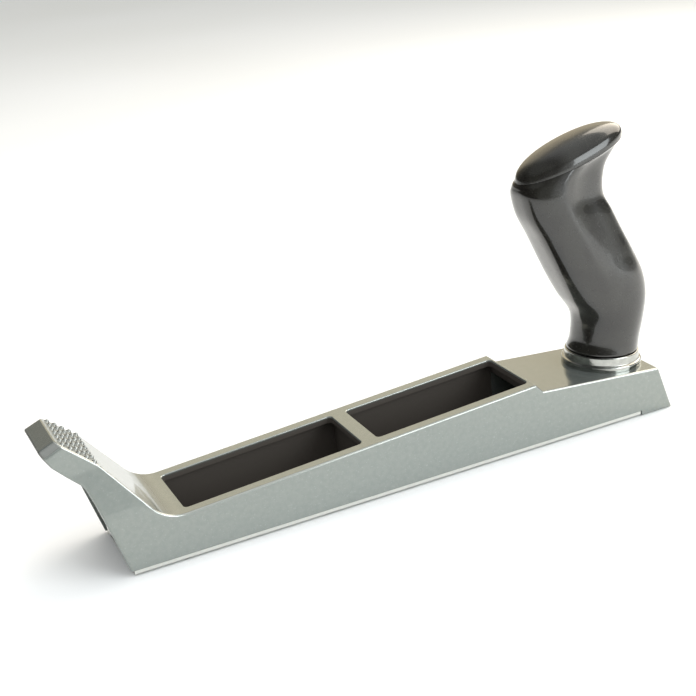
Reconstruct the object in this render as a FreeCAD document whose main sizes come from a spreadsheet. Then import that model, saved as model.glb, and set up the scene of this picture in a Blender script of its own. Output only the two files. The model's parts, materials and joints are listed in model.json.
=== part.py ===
"""Rasp plane: a cast body with two windows and an upswept toe, a perforated steel rasp blade
held under it by a screw-driven hook, and a swivelling grip on a turned ferrule.

Lengths are millimetres. The design frame has x = 0 at the front corner of the sole, +x towards
the heel, y = 0 on the middle plane and z = 0 on the surface that the plane rests on. Every
sub-part's Placement then shifts it so that the origin is the bottom centre of the whole tool.
"""
import FreeCAD, Part
import math
import os

import Sketcher
from FreeCAD import Placement, Rotation, Vector

doc = FreeCAD.newDocument("rasp_plane")
sheet = doc.addObject("Spreadsheet::Sheet", "Sizes")

SIZES = [
    # the cast body's side outline
    ("sole_length", 263.3),
    ("overshoot", 10.0),
    ("body_width", 44.0),
    ("wall", 3.0),
    ("skin", 3.2),
    ("rail_bottom", 1.5),
    ("band_height", 2.4),
    ("heel_height", 21.3),
    ("heel_run", 7.0),
    ("heel_pad_length", 16.6),
    ("heel_wall", 13.8),
    ("deck_start", 194.0),
    ("deck_start_height", 26.7),
    ("ridge", 190.5),
    ("ridge_height", 30.7),
    # the toe horn, measured forward from the sole's front corner
    ("root", 18.0),
    ("root_height", 19.9),
    ("root_radius", 16.0),
    ("kink_reach", 3.8),
    ("kink_height", 48.8),
    ("kink_radius", 5.0),
    ("crest_reach", 18.2),
    ("crest_height", 62.0),
    ("nose_reach", 25.6),
    ("nose_height", 59.0),
    ("lip_thickness", 3.6),
    ("horn_skin", 4.6),
    ("brow_reach", 21.8),
    ("brow_height", 52.4),
    ("cheek_reach", 17.0),
    ("cheek_height", 47.2),
    ("jaw_reach", 11.4),
    ("jaw_height", 41.9),
    ("throat_reach", 8.6),
    ("throat_height", 33.4),
    ("taper_start_height", 26.4),
    ("taper_kink_half", "=body_width / 2 - 5.7"),
    ("taper_tip_half", "=body_width / 2 - 7.6"),
    ("taper_radius", 25.0),
    ("nose_corner_radius", 4.0),
    ("underside_radius", 7.0),
    # studs on the toe pad
    ("stud_rows", 5),
    ("stud_columns", 7),
    ("stud_first", 3.3),
    ("stud_row_pitch", 3.6),
    ("stud_pitch_front", 4.3),
    ("stud_pitch_back", 4.9),
    ("stud_base_radius", 1.45),
    ("stud_top_radius", 0.55),
    ("stud_height", 0.9),
    ("stud_sink", 0.3),
    # windows and webs
    ("window_start", 26.6),
    ("window_end", 189.4),
    ("bar_start", 107.0),
    ("bar_width", 7.2),
    ("window_width", 33.3),
    ("window_corner", 2.0),
    ("rib_thickness", 3.0),
    ("rib_bottom", 7.0),
    ("web_start", 15.5),
    ("web_thickness", 3.0),
    ("web_bottom", 5.0),
    ("lug_start", 239.8),
    ("lug_length", 3.5),
    ("lug_bottom", 1.9),
    ("lug_top", 5.2),
    ("edge_radius", 0.9),
    ("ridge_radius", 0.6),
    ("window_edge_radius", 0.5),
    # rasp blade
    ("blade_width", "=body_width - 0.8"),
    ("blade_start", 1.0),
    ("blade_length", 245.0),
    ("sheet_thickness", 0.8),
    ("tooth_height", 0.6),
    ("flange_top", 2.1),
    ("blade_side_clearance", 0.2),
    ("tooth_pitch", 6.4),
    ("tooth_lane_pitch", 4.4),
    ("tooth_lanes", 8),
    ("tooth_hole_radius", 1.25),
    ("tooth_width", 2.2),
    ("tooth_run", 1.7),
    ("tooth_bite", 0.15),
    ("tooth_margin", 12.0),
    ("tab_height", 5.2),
    ("tab_width", 20.0),
    ("front_tab_start", 6.8),
    ("rear_tab_start", 243.6),
    ("tab_slot_length", 3.2),
    # tension hook and screw
    ("hook_front", 1.8),
    ("hook_plate", 3.0),
    ("hook_bottom", 7.2),
    ("hook_top", 20.0),
    ("hook_side_clearance", 0.5),
    ("hook_arm_height", 2.5),
    ("catch_length", 2.2),
    ("catch_bottom", 2.2),
    ("catch_clearance", 0.3),
    ("catch_side_clearance", 1.0),
    ("screw_height", 13.6),
    ("screw_radius", 2.5),
    ("screw_running_clearance", 0.05),
    ("screw_tip_gap", 0.15),
    ("screw_head_radius", 4.4),
    ("screw_head_height", 3.6),
    ("screw_head_gap", 0.3),
    ("screw_slot_width", 1.2),
    ("screw_slot_depth", 1.6),
    ("screw_chamfer", 0.6),
    # ferrule and what it clamps, heights along the swivel axis from the deck
    ("swivel_from_heel", 23.6),
    ("seat_thickness", 6.85),
    ("flange_radius", 18.5),
    ("flange_height", 2.6),
    ("neck_radius", 17.2),
    ("neck_top", 6.6),
    ("ferrule_floor", 3.5),
    ("ferrule_bore_radius", 14.0),
    ("swivel_gap", 0.15),
    ("foot_gap", 0.35),
    ("spigot_clearance", 0.1),
    ("bolt_radius", 4.0),
    ("bolt_hole_radius", "=bolt_radius + 0.35"),
    ("bolt_head_flats", 13.0),
    ("bolt_head_height", 4.0),
    ("bolt_end", 19.0),
    ("friction_washer_thickness", 0.8),
    ("washer_thickness", 1.2),
    ("washer_radius", 8.0),
    ("lock_washer_thickness", 1.6),
    ("lock_washer_radius", 6.8),
    ("lock_washer_split", 1.2),
    ("insert_radius", 6.0),
    ("insert_top", 22.0),
    ("press_clearance", 0.02),
    # grip
    ("foot_radius", 16.6),
    ("grip_wall", 3.0),
    ("rim_tilt", 19.4),
    ("cap_skirt", 3.0),
    ("cap_skirt_clearance", 3.6),
]

for row, (name, value) in enumerate(SIZES, start=1):
    sheet.set("A%d" % row, name)
    sheet.set("B%d" % row, str(value))
    sheet.setAlias("B%d" % row, name)
doc.recompute()


def size(expression):
    """The value of a sheet expression, such as 'Sizes.wall * 2'."""
    return float(sheet.evalExpression(expression))


# Places that several pieces share, as expressions of the sheet.
SHIFT = "(Sizes.nose_reach - Sizes.sole_length) / 2"
SWIVEL_X = "(Sizes.sole_length - Sizes.swivel_from_heel)"
HEEL_TOP = "(Sizes.sole_length - Sizes.heel_run)"
DECK_FALL = "((Sizes.deck_start_height - Sizes.heel_height) / (%s - Sizes.deck_start))" % HEEL_TOP
SWIVEL_Z = "(Sizes.heel_height + %s * (%s - %s))" % (DECK_FALL, HEEL_TOP, SWIVEL_X)
SWIVEL_TILT = "atan(%s)" % DECK_FALL
HEEL_PAD = "(Sizes.sole_length - Sizes.heel_pad_length)"
HOLLOW_END = "(Sizes.sole_length - Sizes.heel_wall)"
INNER_HALF = "(Sizes.body_width / 2 - Sizes.wall)"
RAIL_HALF = "(Sizes.blade_width / 2 - Sizes.sheet_thickness - Sizes.blade_side_clearance)"


def origin_plane(body, role):
    """One of a body's own origin planes, by its role."""
    return next(plane for plane in body.Origin.OriginFeatures if plane.Role == role)


def new_sketch(owner, name, role, offset=None):
    """A sketch on an origin plane of its body, or free-standing on the same kind of plane."""
    if owner is None:
        sketch = doc.addObject("Sketcher::SketchObject", name)
        turns = {"XZ_Plane": Rotation(Vector(1, 0, 0), 90), "YZ_Plane": Rotation(Vector(1, 1, 1), 120)}
        sketch.Placement = Placement(Vector(), turns[role])
        return sketch
    sketch = owner.newObject("Sketcher::SketchObject", name)
    sketch.AttachmentSupport = [(origin_plane(owner, role), "")]
    sketch.MapMode = "FlatFace"
    if offset is not None:
        sketch.setExpression("AttachmentOffset.Base.z", offset)
    return sketch


def add_outline(sketch, corners):
    """Draw a closed outline whose corners are pairs of expressions, each bound to the sheet."""
    first = sketch.GeometryCount
    points = [Vector(size(across), size(up), 0) for across, up in corners]
    for index, point in enumerate(points):
        following = points[(index + 1) % len(points)]
        sketch.addGeometry(Part.LineSegment(point, following), False)
    for index, (across, up) in enumerate(corners):
        line = first + index
        following = first + (index + 1) % len(corners)
        sketch.addConstraint(Sketcher.Constraint("Coincident", line, 2, following, 1))
        for kind, expression, value in (
            ("DistanceX", across, points[index].x),
            ("DistanceY", up, points[index].y),
        ):
            number = sketch.addConstraint(Sketcher.Constraint(kind, -1, 1, line, 1, value))
            label = "%s_%d" % (kind, line)
            sketch.renameConstraint(number, label)
            sketch.setExpression("Constraints." + label, expression)


def add_circle(sketch, across, up, radius):
    """Draw a circle whose centre and radius are expressions bound to the sheet."""
    number = sketch.GeometryCount
    centre = Vector(size(across), size(up), 0)
    sketch.addGeometry(Part.Circle(centre, Vector(0, 0, 1), size(radius)), False)
    for kind, expression, value in (("DistanceX", across, centre.x), ("DistanceY", up, centre.y)):
        constraint = sketch.addConstraint(Sketcher.Constraint(kind, -1, 1, number, 3, value))
        label = "%s_%d" % (kind, number)
        sketch.renameConstraint(constraint, label)
        sketch.setExpression("Constraints." + label, expression)
    constraint = sketch.addConstraint(Sketcher.Constraint("Radius", number, size(radius)))
    sketch.renameConstraint(constraint, "Radius_%d" % number)
    sketch.setExpression("Constraints.Radius_%d" % number, radius)


def add_feature(body, kind, name, profile, length, symmetric=False, away=False):
    """Pad or pocket a sketch by a length that is an expression."""
    feature = body.newObject("PartDesign::" + kind, name)
    feature.Profile = profile
    feature.SideType = "Symmetric" if symmetric else "One side"
    feature.Reversed = away
    feature.setExpression("Length", length)
    doc.recompute()
    return feature


def revolve(body, name, profile):
    """Turn a half section in the XZ plane about the body's own Z axis."""
    feature = body.newObject("PartDesign::Revolution", name)
    feature.Profile = profile
    feature.ReferenceAxis = (profile, ["V_Axis"])
    feature.Angle = 360
    doc.recompute()
    return feature


def round_edges(body, name, wanted, radius):
    """Fillet the edges of the body's tip that a test picks out."""
    base = body.Tip
    names = ["Edge%d" % number for number, edge in enumerate(base.Shape.Edges, 1) if wanted(edge)]
    fillet = body.newObject("PartDesign::Fillet", name)
    fillet.Base = (base, names)
    fillet.setExpression("Radius", radius)
    doc.recompute()
    return fillet


def extrude(name, sketch, direction, length):
    """A solid block of a free-standing sketch, symmetric about the sketch's plane."""
    block = doc.addObject("Part::Extrusion", name)
    block.Base = sketch
    block.DirMode = "Custom"
    block.Dir = direction
    block.Solid = True
    block.Symmetric = True
    block.setExpression("LengthFwd", length)
    return block


def place(piece, along=None, lift=None, tilt=None):
    """Bind a sub-part's Placement: the shift to the tool's bottom centre and a place of its own."""
    shift = SHIFT if along is None else "%s + %s" % (SHIFT, along)
    piece.Placement = Placement(Vector(), Rotation(Vector(0, 1, 0), 1 if tilt else 0))
    piece.setExpression("Placement.Base.x", shift)
    if lift is not None:
        piece.setExpression("Placement.Base.z", lift)
    if tilt is not None:
        piece.setExpression("Placement.Rotation.Angle", tilt)


def place_on_swivel(piece):
    """Stand a piece that is drawn about its own Z axis on the deck's swivel axis."""
    place(piece, SWIVEL_X, SWIVEL_Z, SWIVEL_TILT)


def face_normals(shape, edge):
    """Outward normals, at the edge's middle, of the faces that meet along an edge."""
    middle = edge.valueAt((edge.FirstParameter + edge.LastParameter) / 2)
    normals = []
    for face in shape.ancestorsOfType(edge, Part.Face):
        normals.append(face.normalAt(*face.Surface.parameter(middle)))
    return normals


# ---------------------------------------------------------------- cast body
def make_casting_blank():
    """The hollow casting without its windows: outer form less inner form, with the pad's studs."""
    side = new_sketch(None, "side_outline", "XZ_Plane")
    add_outline(side, [
        ("0", "Sizes.rail_bottom"),
        ("-Sizes.throat_reach", "Sizes.throat_height"),
        ("-Sizes.jaw_reach", "Sizes.jaw_height"),
        ("-Sizes.cheek_reach", "Sizes.cheek_height"),
        ("-Sizes.brow_reach", "Sizes.brow_height"),
        ("-Sizes.nose_reach", "Sizes.nose_height"),
        ("-Sizes.crest_reach", "Sizes.crest_height"),
        ("-Sizes.kink_reach", "Sizes.kink_height"),
        ("Sizes.root", "Sizes.root_height"),
        ("Sizes.ridge", "Sizes.ridge_height"),
        ("Sizes.deck_start", "Sizes.deck_start_height"),
        (HEEL_TOP, "Sizes.heel_height"),
        ("Sizes.sole_length", "0"),
        (HEEL_PAD, "0"),
        (HEEL_PAD, "Sizes.rail_bottom"),
    ])
    side_block = extrude("side_block", side, Vector(0, 1, 0), "Sizes.body_width")

    def front_outline(name, inset):
        """Half widths by height: full at the sole, narrowing up the horn."""
        half = "(Sizes.body_width / 2 - %s)" % inset
        kink_half = "(Sizes.taper_kink_half - %s)" % inset
        tip_half = "(Sizes.taper_tip_half - %s)" % inset
        top = "Sizes.crest_height + Sizes.overshoot"
        sketch = new_sketch(None, name, "YZ_Plane")
        add_outline(sketch, [
            (half, "-Sizes.overshoot"),
            (half, "Sizes.taper_start_height"),
            (kink_half, "Sizes.kink_height"),
            (tip_half, top),
            ("-" + tip_half, top),
            ("-" + kink_half, "Sizes.kink_height"),
            ("-" + half, "Sizes.taper_start_height"),
            ("-" + half, "-Sizes.overshoot"),
        ])
        block = extrude(name + "_block", sketch, Vector(1, 0, 0), "2 * Sizes.sole_length")
        doc.recompute()
        bends = [size("Sizes.taper_start_height"), size("Sizes.kink_height")]
        radius = size("Sizes.taper_radius")
        rounded = doc.addObject("Part::Fillet", name + "_rounded")
        rounded.Base = block
        rounded.Edges = [
            (number, radius, radius) for number, edge in enumerate(block.Shape.Edges, 1)
            if edge.BoundBox.XLength > 1 and min(abs(edge.BoundBox.Center.z - bend) for bend in bends) < 0.1]
        return rounded

    def rear_block(name, inset):
        """The full-width stretch behind the horn, where the side walls stay upright."""
        block = doc.addObject("Part::Box", name)
        block.setExpression("Length", "Sizes.sole_length")
        block.setExpression("Width", "Sizes.body_width - 2 * %s" % inset)
        block.setExpression("Height", "Sizes.crest_height + Sizes.overshoot")
        block.setExpression("Placement.Base.x", "Sizes.window_start")
        block.setExpression("Placement.Base.y", "%s - Sizes.body_width / 2" % inset)
        block.setExpression("Placement.Base.z", "-Sizes.overshoot")
        return block

    def fuse(name, *shapes):
        union = doc.addObject("Part::MultiFuse", name)
        union.Shapes = list(shapes)
        union.Refine = True
        return union

    def common(name, first, second):
        overlap = doc.addObject("Part::MultiCommon", name)
        overlap.Shapes = [first, second]
        return overlap

    outer_section = fuse("outer_section", front_outline("outer_front", "0"), rear_block("outer_rear", "0"))
    outer = common("outer_form", side_block, outer_section)

    hollow = new_sketch(None, "hollow_outline", "XZ_Plane")
    add_outline(hollow, [
        ("-Sizes.nose_reach - Sizes.overshoot", "-Sizes.overshoot"),
        ("-Sizes.nose_reach - Sizes.overshoot", "Sizes.nose_height - Sizes.lip_thickness"),
        ("-Sizes.crest_reach", "Sizes.nose_height - Sizes.lip_thickness"),
        ("-Sizes.kink_reach", "Sizes.kink_height - Sizes.horn_skin"),
        ("Sizes.root - Sizes.skin", "Sizes.root_height - Sizes.skin"),
        ("Sizes.ridge - 1", "Sizes.ridge_height - Sizes.skin"),
        ("Sizes.deck_start - Sizes.skin", "Sizes.deck_start_height - Sizes.skin"),
        (HOLLOW_END, "Sizes.heel_height - Sizes.skin + %s * (%s - %s)" % (DECK_FALL, HEEL_TOP, HOLLOW_END)),
        (HOLLOW_END, "-Sizes.overshoot"),
    ])
    hollow_block = extrude("hollow_block", hollow, Vector(0, 1, 0), "Sizes.body_width")
    inner_front = front_outline("inner_front", "Sizes.wall")
    inner_section = fuse("inner_section", inner_front, rear_block("inner_rear", "Sizes.wall"))
    inner = common("inner_form", hollow_block, inner_section)

    shell = doc.addObject("Part::Cut", "casting_blank")
    shell.Base = outer
    shell.Tool = inner
    doc.recompute()
    return shell


def stud_places():
    """Stud feet on the toe pad: rows fan out from the crest to the kink."""
    start = Vector(-size("Sizes.crest_reach"), 0, size("Sizes.crest_height"))
    end = Vector(-size("Sizes.kink_reach"), 0, size("Sizes.kink_height"))
    along = (end - start).normalize()
    rows = int(size("Sizes.stud_rows"))
    columns = int(size("Sizes.stud_columns"))
    narrow = size("Sizes.stud_pitch_front")
    wide = size("Sizes.stud_pitch_back")
    places = []
    for row in range(rows):
        foot = start + along * (size("Sizes.stud_first") + row * size("Sizes.stud_row_pitch"))
        pitch = narrow + (wide - narrow) * row / (rows - 1)
        for column in range(columns):
            places.append(foot + Vector(0, (column - (columns - 1) / 2) * pitch, 0))
    outward = Vector(-along.z, 0, along.x)
    return places, outward


def make_studs():
    """The pad's studs as one group of cones, sunk a little into the pad's face."""
    places, outward = stud_places()
    sink = size("Sizes.stud_sink")
    cones = []
    for foot in places:
        cones.append(Part.makeCone(
            size("Sizes.stud_base_radius"), size("Sizes.stud_top_radius"),
            size("Sizes.stud_height") + sink, foot - outward * sink, outward))
    studs = doc.addObject("Part::Feature", "pad_studs")
    studs.Shape = Part.makeCompound(cones)
    return studs


def crosswise_edge(reach, height):
    """A test for the edges that run across the body at one corner of the side outline."""
    place = Vector(size(reach), 0, size(height))

    def at_corner(edge):
        box = edge.BoundBox
        near = math.hypot(box.Center.x - place.x, box.Center.z - place.z) < 0.3
        return near and box.XLength < 0.3 and box.ZLength < 0.3

    return at_corner


def round_casting_outline(body):
    """Round the corners of the side outline, the nose's corners and the long upper edges."""
    round_edges(body, "root_round", crosswise_edge("Sizes.root", "Sizes.root_height"), "Sizes.root_radius")
    round_edges(body, "kink_round", crosswise_edge("-Sizes.kink_reach", "Sizes.kink_height"),
                "Sizes.kink_radius")
    corners = [
        crosswise_edge("-Sizes.throat_reach", "Sizes.throat_height"),
        crosswise_edge("-Sizes.jaw_reach", "Sizes.jaw_height"),
        crosswise_edge("-Sizes.cheek_reach", "Sizes.cheek_height"),
        crosswise_edge("-Sizes.brow_reach", "Sizes.brow_height"),
    ]
    round_edges(body, "underside_rounds", lambda edge: any(test(edge) for test in corners),
                "Sizes.underside_radius")
    crest = -size("Sizes.crest_reach")
    nose_low = size("Sizes.nose_height - Sizes.lip_thickness")

    def nose_corner(edge):
        box = edge.BoundBox
        slanted = box.YLength < 1.5 and box.XLength + box.ZLength > 2.5
        return slanted and box.XMax < crest + 0.1 and box.ZMin > nose_low and abs(box.Center.y) > 8

    round_edges(body, "nose_corners", nose_corner, "Sizes.nose_corner_radius")
    round_edges(body, "ridge_round", crosswise_edge("Sizes.ridge", "Sizes.ridge_height"),
                "Sizes.ridge_radius")
    ends = [
        crosswise_edge("-Sizes.crest_reach", "Sizes.crest_height"),
        crosswise_edge("-Sizes.nose_reach", "Sizes.nose_height"),
        crosswise_edge(HEEL_TOP, "Sizes.heel_height"),
    ]
    shape = body.Tip.Shape

    def upper_rim(edge):
        """An edge between an upward face and a side or end face of the outer form."""
        if any(test(edge) for test in ends):
            return True
        normals = face_normals(shape, edge)
        upward = any(normal.z > 0.25 and abs(normal.y) < 0.5 for normal in normals)
        sideways = any(abs(normal.y) > 0.6 and normal.z < 0.4 for normal in normals)
        return upward and sideways

    round_edges(body, "rim_rounds", upper_rim, "Sizes.edge_radius")


def make_body_casting():
    """The aluminium casting: blank, webs, windows, blade rabbet, swivel seat, rounded edges."""
    body = doc.addObject("PartDesign::Body", "casting_form")
    body.BaseFeature = make_casting_blank()
    doc.recompute()
    round_casting_outline(body)

    webs = new_sketch(body, "web_outlines", "XZ_Plane")
    roof = "Sizes.root_height - Sizes.skin / 2"
    rise = "(Sizes.ridge_height - Sizes.root_height) / (Sizes.ridge - Sizes.root)"
    bar_middle = "Sizes.bar_start + Sizes.bar_width / 2"
    rib_roof = "Sizes.root_height - 1 + %s * (%s - Sizes.root)" % (rise, bar_middle)
    add_outline(webs, [
        ("Sizes.web_start", "Sizes.web_bottom"),
        ("Sizes.web_start + Sizes.web_thickness", "Sizes.web_bottom"),
        ("Sizes.web_start + Sizes.web_thickness", roof),
        ("Sizes.web_start", roof),
    ])
    add_outline(webs, [
        ("%s - Sizes.rib_thickness / 2" % bar_middle, "Sizes.rib_bottom"),
        ("%s + Sizes.rib_thickness / 2" % bar_middle, "Sizes.rib_bottom"),
        ("%s + Sizes.rib_thickness / 2" % bar_middle, rib_roof),
        ("%s - Sizes.rib_thickness / 2" % bar_middle, rib_roof),
    ])
    add_outline(webs, [
        ("Sizes.lug_start", "Sizes.lug_bottom"),
        ("Sizes.lug_start + Sizes.lug_length", "Sizes.lug_bottom"),
        ("Sizes.lug_start + Sizes.lug_length", "Sizes.lug_top"),
        ("Sizes.lug_start", "Sizes.lug_top"),
    ])
    add_feature(body, "Pad", "webs", webs, "Sizes.body_width - Sizes.wall", symmetric=True)

    seat = body.newObject("Sketcher::SketchObject", "seat_outline")
    seat.AttachmentSupport = [(origin_plane(body, "XY_Plane"), "")]
    seat.MapMode = "FlatFace"
    seat.AttachmentOffset = Placement(Vector(), Rotation(Vector(0, 1, 0), 1))
    seat.setExpression("AttachmentOffset.Base.x", SWIVEL_X)
    seat.setExpression("AttachmentOffset.Base.z", SWIVEL_Z)
    seat.setExpression("AttachmentOffset.Rotation.Angle", SWIVEL_TILT)
    add_circle(seat, "0", "0", "Sizes.flange_radius")
    add_feature(body, "Pad", "swivel_seat", seat, "Sizes.seat_thickness", away=True)

    windows = new_sketch(body, "window_outlines", "XY_Plane")
    for start, end in (("Sizes.window_start", "Sizes.bar_start"),
                       ("Sizes.bar_start + Sizes.bar_width", "Sizes.window_end")):
        add_outline(windows, [
            (start, "-Sizes.window_width / 2"),
            (end, "-Sizes.window_width / 2"),
            (end, "Sizes.window_width / 2"),
            (start, "Sizes.window_width / 2"),
        ])
    add_feature(body, "Pocket", "windows", windows, "Sizes.ridge_height + Sizes.overshoot", away=True)
    rib_top = size("Sizes.rib_bottom")
    window_half = size("Sizes.window_width / 2")

    def window_corner(edge):
        upright = edge.BoundBox.ZLength > 1 and edge.BoundBox.XLength < 0.01 and edge.BoundBox.YLength < 0.01
        middle = edge.BoundBox.Center
        return upright and middle.z > rib_top and abs(abs(middle.y) - window_half) < 0.01

    round_edges(body, "window_corners", window_corner, "Sizes.window_corner")
    pierced = body.Tip.Shape

    def window_rim(edge):
        """An upper edge of a window, where its wall meets the outer skin."""
        middle = edge.BoundBox.Center
        inside = abs(middle.y) < window_half + 0.1
        ahead = middle.x > size("Sizes.window_start") - 0.1 and middle.x < size("Sizes.window_end") + 0.1
        normals = face_normals(pierced, edge)
        on_skin = any(normal.z > 0.9 and abs(normal.y) < 0.01 for normal in normals)
        on_wall = any(abs(normal.z) < 0.01 for normal in normals)
        return inside and ahead and on_skin and on_wall and middle.z > size("Sizes.root_height")

    round_edges(body, "window_rims", window_rim, "Sizes.window_edge_radius")

    rabbet = new_sketch(body, "rabbet_outlines", "YZ_Plane")
    for side in ("", "-"):
        add_outline(rabbet, [
            (side + RAIL_HALF, "-1"),
            (side + "Sizes.body_width", "-1"),
            (side + "Sizes.body_width", "Sizes.band_height"),
            (side + RAIL_HALF, "Sizes.band_height"),
        ])
    add_feature(body, "Pocket", "blade_rabbet", rabbet, HEEL_PAD, away=True)

    band = new_sketch(body, "heel_band_outlines", "YZ_Plane", HEEL_PAD)
    for side in ("", "-"):
        add_outline(band, [
            (side + "Sizes.blade_width / 2", "-1"),
            (side + "Sizes.body_width", "-1"),
            (side + "Sizes.body_width", "Sizes.band_height"),
            (side + "Sizes.blade_width / 2", "Sizes.band_height"),
        ])
    add_feature(body, "Pocket", "heel_band", band, "Sizes.heel_pad_length + Sizes.overshoot", away=True)

    hole = body.newObject("Sketcher::SketchObject", "bolt_hole_outline")
    hole.AttachmentSupport = seat.AttachmentSupport
    hole.MapMode = "FlatFace"
    hole.AttachmentOffset = Placement(Vector(), Rotation(Vector(0, 1, 0), 1))
    hole.setExpression("AttachmentOffset.Base.x", SWIVEL_X)
    hole.setExpression("AttachmentOffset.Base.z", SWIVEL_Z)
    hole.setExpression("AttachmentOffset.Rotation.Angle", SWIVEL_TILT)
    add_circle(hole, "0", "0", "Sizes.bolt_hole_radius")
    add_feature(body, "Pocket", "bolt_hole", hole, "3 * Sizes.seat_thickness", symmetric=True)

    casting = doc.addObject("Part::MultiFuse", "body_casting")
    casting.Shapes = [body, make_studs()]
    place(casting)
    return casting


# ---------------------------------------------------------------- rasp blade and its tension hook
def make_rasp_blade():
    """A punched steel channel: side flanges, an upturned tab near each end, staggered teeth."""
    start = size("Sizes.blade_start")
    end = start + size("Sizes.blade_length")
    half = size("Sizes.blade_width") / 2
    thick = size("Sizes.sheet_thickness")
    underside = size("Sizes.tooth_height")
    tab_half = size("Sizes.tab_width") / 2

    def rectangle(x_low, x_high, y_low, y_high):
        corners = [(x_low, y_low), (x_high, y_low), (x_high, y_high), (x_low, y_high), (x_low, y_low)]
        return Part.makePolygon([Vector(x, y, underside) for x, y in corners])

    def box(x_low, x_high, y_low, y_high, top):
        return Part.makeBox(x_high - x_low, y_high - y_low, top - underside,
                            Vector(x_low, y_low, underside))

    front_tab = size("Sizes.front_tab_start")
    rear_tab = size("Sizes.rear_tab_start")
    slot = size("Sizes.tab_slot_length")
    openings = [
        rectangle(front_tab + thick, front_tab + thick + slot, -tab_half, tab_half),
        rectangle(rear_tab - slot, rear_tab, -tab_half, tab_half),
    ]
    radius = size("Sizes.tooth_hole_radius")
    lanes = int(size("Sizes.tooth_lanes"))
    pitch = size("Sizes.tooth_pitch")
    first = start + size("Sizes.tooth_margin")
    count = int((end - size("Sizes.tooth_margin") - first) / pitch)
    teeth = []
    for lane in range(lanes):
        across = (lane - (lanes - 1) / 2) * size("Sizes.tooth_lane_pitch")
        stagger = pitch / 2 if lane % 2 else 0
        for place_in_lane in range(count):
            along = first + stagger + place_in_lane * pitch
            openings.append(Part.Wire(Part.makeCircle(radius, Vector(along, across, underside))))
            teeth.append(make_tooth(along + radius, across))
    sheet_face = Part.makeFace([rectangle(start, end, -half, half)] + openings, "Part::FaceMakerBullseye")
    web = sheet_face.extrude(Vector(0, 0, thick))
    flange_top = size("Sizes.flange_top")
    tab_top = size("Sizes.tab_height")
    walls = [
        box(start, end, -half, -half + thick, flange_top),
        box(start, end, half - thick, half, flange_top),
        box(front_tab, front_tab + thick, -tab_half, tab_half, tab_top),
        box(rear_tab, rear_tab + thick, -tab_half, tab_half, tab_top),
    ]
    blade = doc.addObject("Part::Feature", "rasp_blade")
    blade.Shape = web.multiFuse(walls + teeth).removeSplitter()
    place(blade)
    return blade


def make_tooth(edge, across):
    """One tooth: a wedge hanging behind its hole, its sharp front edge on the sole's surface."""
    root = size("Sizes.tooth_height")
    run = size("Sizes.tooth_run")
    bite = size("Sizes.tooth_bite")
    half = size("Sizes.tooth_width") / 2
    outline = [(edge + bite, root + bite), (edge, 0), (edge + 0.2 * run, 0), (edge + run, root),
               (edge + run, root + bite), (edge + bite, root + bite)]
    wedge = Part.Face(Part.makePolygon([Vector(x, across - half, z) for x, z in outline]))
    return wedge.extrude(Vector(0, 2 * half, 0))


def make_tension_hook():
    """The steel hook: a threaded plate between the side walls and a catch behind the blade's tab."""
    body = doc.addObject("PartDesign::Body", "tension_hook")
    plate_back = "Sizes.hook_front + Sizes.hook_plate"
    plate = new_sketch(body, "plate_outline", "XZ_Plane")
    add_outline(plate, [
        ("Sizes.hook_front", "Sizes.hook_bottom"),
        (plate_back, "Sizes.hook_bottom"),
        (plate_back, "Sizes.hook_top"),
        ("Sizes.hook_front", "Sizes.hook_top"),
    ])
    add_feature(body, "Pad", "plate", plate, "2 * (%s - Sizes.hook_side_clearance)" % INNER_HALF,
                symmetric=True)
    catch_front = "Sizes.front_tab_start + Sizes.sheet_thickness + Sizes.catch_clearance"
    catch_back = catch_front + " + Sizes.catch_length"
    arm_top = "Sizes.hook_bottom + Sizes.hook_arm_height"
    arm = new_sketch(body, "arm_outline", "XZ_Plane")
    add_outline(arm, [
        ("Sizes.hook_front", "Sizes.hook_bottom"),
        (catch_front, "Sizes.hook_bottom"),
        (catch_front, "Sizes.catch_bottom"),
        (catch_back, "Sizes.catch_bottom"),
        (catch_back, arm_top),
        ("Sizes.hook_front", arm_top),
    ])
    add_feature(body, "Pad", "arm", arm, "Sizes.tab_width - 2 * Sizes.catch_side_clearance",
                symmetric=True)
    thread = new_sketch(body, "thread_outline", "YZ_Plane")
    add_circle(thread, "0", "Sizes.screw_height", "Sizes.screw_radius + Sizes.screw_running_clearance")
    add_feature(body, "Pocket", "thread", thread, "2 * Sizes.overshoot", symmetric=True)
    corner_radius = "Sizes.hook_plate / 3"
    round_edges(body, "plate_corners",
                lambda edge: edge.BoundBox.XLength > 2 and edge.BoundBox.YLength < 0.01
                and abs(edge.BoundBox.Center.z - size("Sizes.hook_top")) < 0.01, corner_radius)
    place(body)
    return body


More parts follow.
